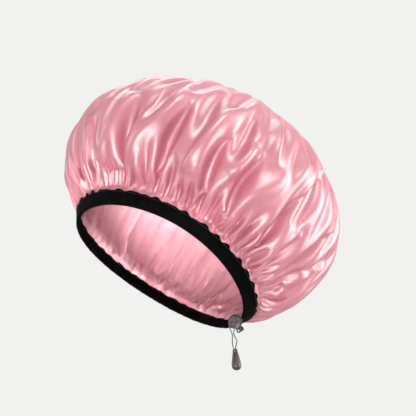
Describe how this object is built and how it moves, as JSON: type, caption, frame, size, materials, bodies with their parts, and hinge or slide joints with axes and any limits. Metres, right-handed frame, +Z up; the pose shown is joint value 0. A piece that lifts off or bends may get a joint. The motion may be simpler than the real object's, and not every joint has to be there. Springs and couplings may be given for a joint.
{
  "type": "shower cap",
  "caption": "Puffed satin shower cap gathered into a ribbon band, with an elastic drawcord, a push-button cord lock and a teardrop pull.",
  "frame": {"origin": "centre of the head opening, on the cap's axis at the level of the band's free edge", "axes": "+Z up as the cap is worn, -X towards the forehead, +X towards the nape, Y across the head; the cap's axis leans 29.3 degrees back from +Z towards +X"},
  "size_m": [0.259, 0.2788, 0.2775],
  "materials": {
    "outer_satin": "glossy woven satin",
    "film": "thin flexible waterproof film",
    "lining_satin": "satin lining",
    "ribbon": "black woven ribbon",
    "thread": "black sewing thread",
    "elastic_cord": "thin round elastic cord",
    "smoke_plastic": "translucent smoke grey moulding",
    "spring_steel": "bright spring wire",
    "gunmetal": "polished gunmetal plating"
  },
  "bodies": {
    "cap": {"outer_shell": "outer_satin", "waterproof_film": "film", "inner_lining": "lining_satin", "band_casing": "ribbon", "seam_thread_outer": "thread", "seam_thread_inner": "thread", "drawcord": "elastic_cord"},
    "lock": {"lock_body": "smoke_plastic", "lock_spring": "spring_steel", "cord_leg_left": "elastic_cord", "cord_leg_right": "elastic_cord"},
    "button": {"lock_plunger": "smoke_plastic"},
    "tail": {"cord_loop": "elastic_cord"},
    "pull": {"teardrop_pull": "gunmetal"}
  },
  "joints": [
    {"name": "lock_slide", "type": "slide", "parent": "cap", "child": "lock", "axis": [0, -0.8686, -0.4955], "range_m": [0, 0.02]},
    {"name": "plunger_press", "type": "slide", "parent": "lock", "child": "button", "axis": [-0.515, -0.4247, 0.7446], "range_m": [0, 0.0015], "stiffness_N_per_m": 400, "springref_m": -0.002, "deforming": ["lock_spring"]},
    {"name": "loop_swing", "type": "hinge", "parent": "lock", "child": "tail", "pos_m": [0.0626, 0.00752, -0.06881], "axis": [0, 1, 0], "range_deg": [-60, 60], "deforming": ["cord_loop"]},
    {"name": "pull_swing", "type": "hinge", "parent": "tail", "child": "pull", "pos_m": [0.06425, 0.00752, -0.08466], "axis": [0, 1, 0], "range_deg": [-45, 45]}
  ]
}
